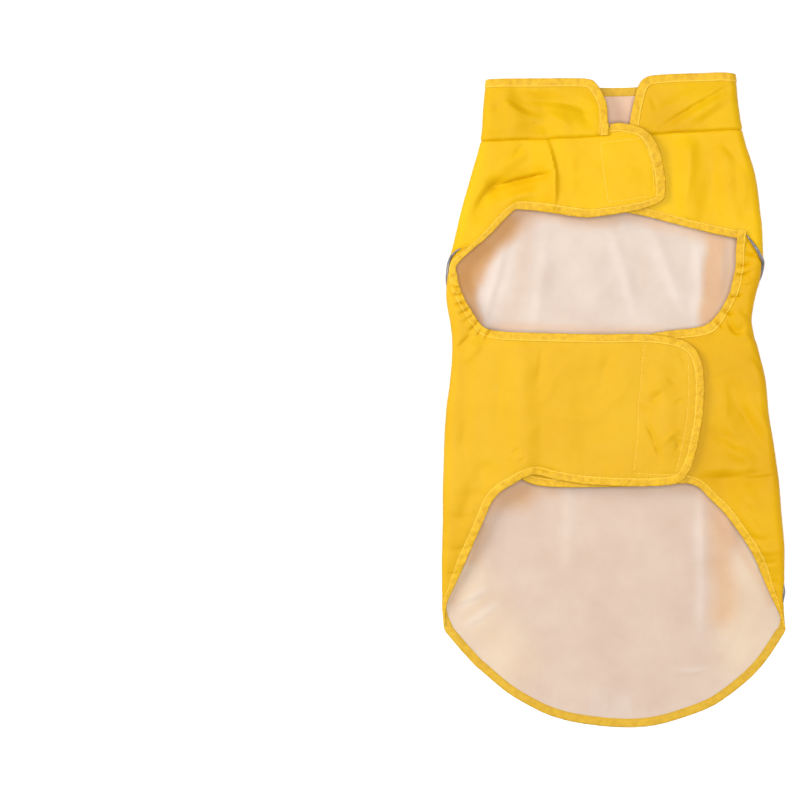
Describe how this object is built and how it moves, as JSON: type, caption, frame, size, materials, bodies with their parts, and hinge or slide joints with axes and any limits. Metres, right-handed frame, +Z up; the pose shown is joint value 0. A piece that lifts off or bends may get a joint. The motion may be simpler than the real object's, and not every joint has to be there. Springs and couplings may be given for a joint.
{
  "type": "dog raincoat",
  "caption": "Sleeveless rain coat for a dog, laid flat belly side up, with a standing collar, overlapping chest and belly flaps that close by hook and loop, leg openings and a rounded tail.",
  "frame": {"origin": "middle of the coat's outline on the floor it lies on: the centre of the bounding box's bottom face", "axes": "+X towards the viewer's right when the coat lies belly side up with its collar away from the viewer, +Y towards the collar, +Z up from the floor"},
  "size_m": [0.2583, 0.4901, 0.0162],
  "materials": {
    "coated_cloth": "yellow waterproof coated weave with a soft sheen, pale pinkish beige inside",
    "binding_tape": "yellow folded binding tape, matt, puckered along its stitching",
    "reflective_piping": "grey reflective piping cord, satin",
    "hook_and_loop": "yellow hook and loop tape, matt"
  },
  "bodies": {
    "root": {"back_panel": "coated_cloth", "left_side_panel": "coated_cloth", "right_side_panel": "coated_cloth", "collar": "coated_cloth", "collar_binding": "binding_tape", "left_chest_binding": "binding_tape", "left_belly_binding": "binding_tape", "right_chest_binding": "binding_tape", "right_belly_binding": "binding_tape", "hem_binding": "binding_tape", "left_piping": "reflective_piping", "right_piping": "reflective_piping", "chest_hook_patch": "hook_and_loop", "chest_loop_patch": "hook_and_loop", "belly_hook_patch": "hook_and_loop", "belly_loop_patch": "hook_and_loop"}
  },
  "joints": []
}
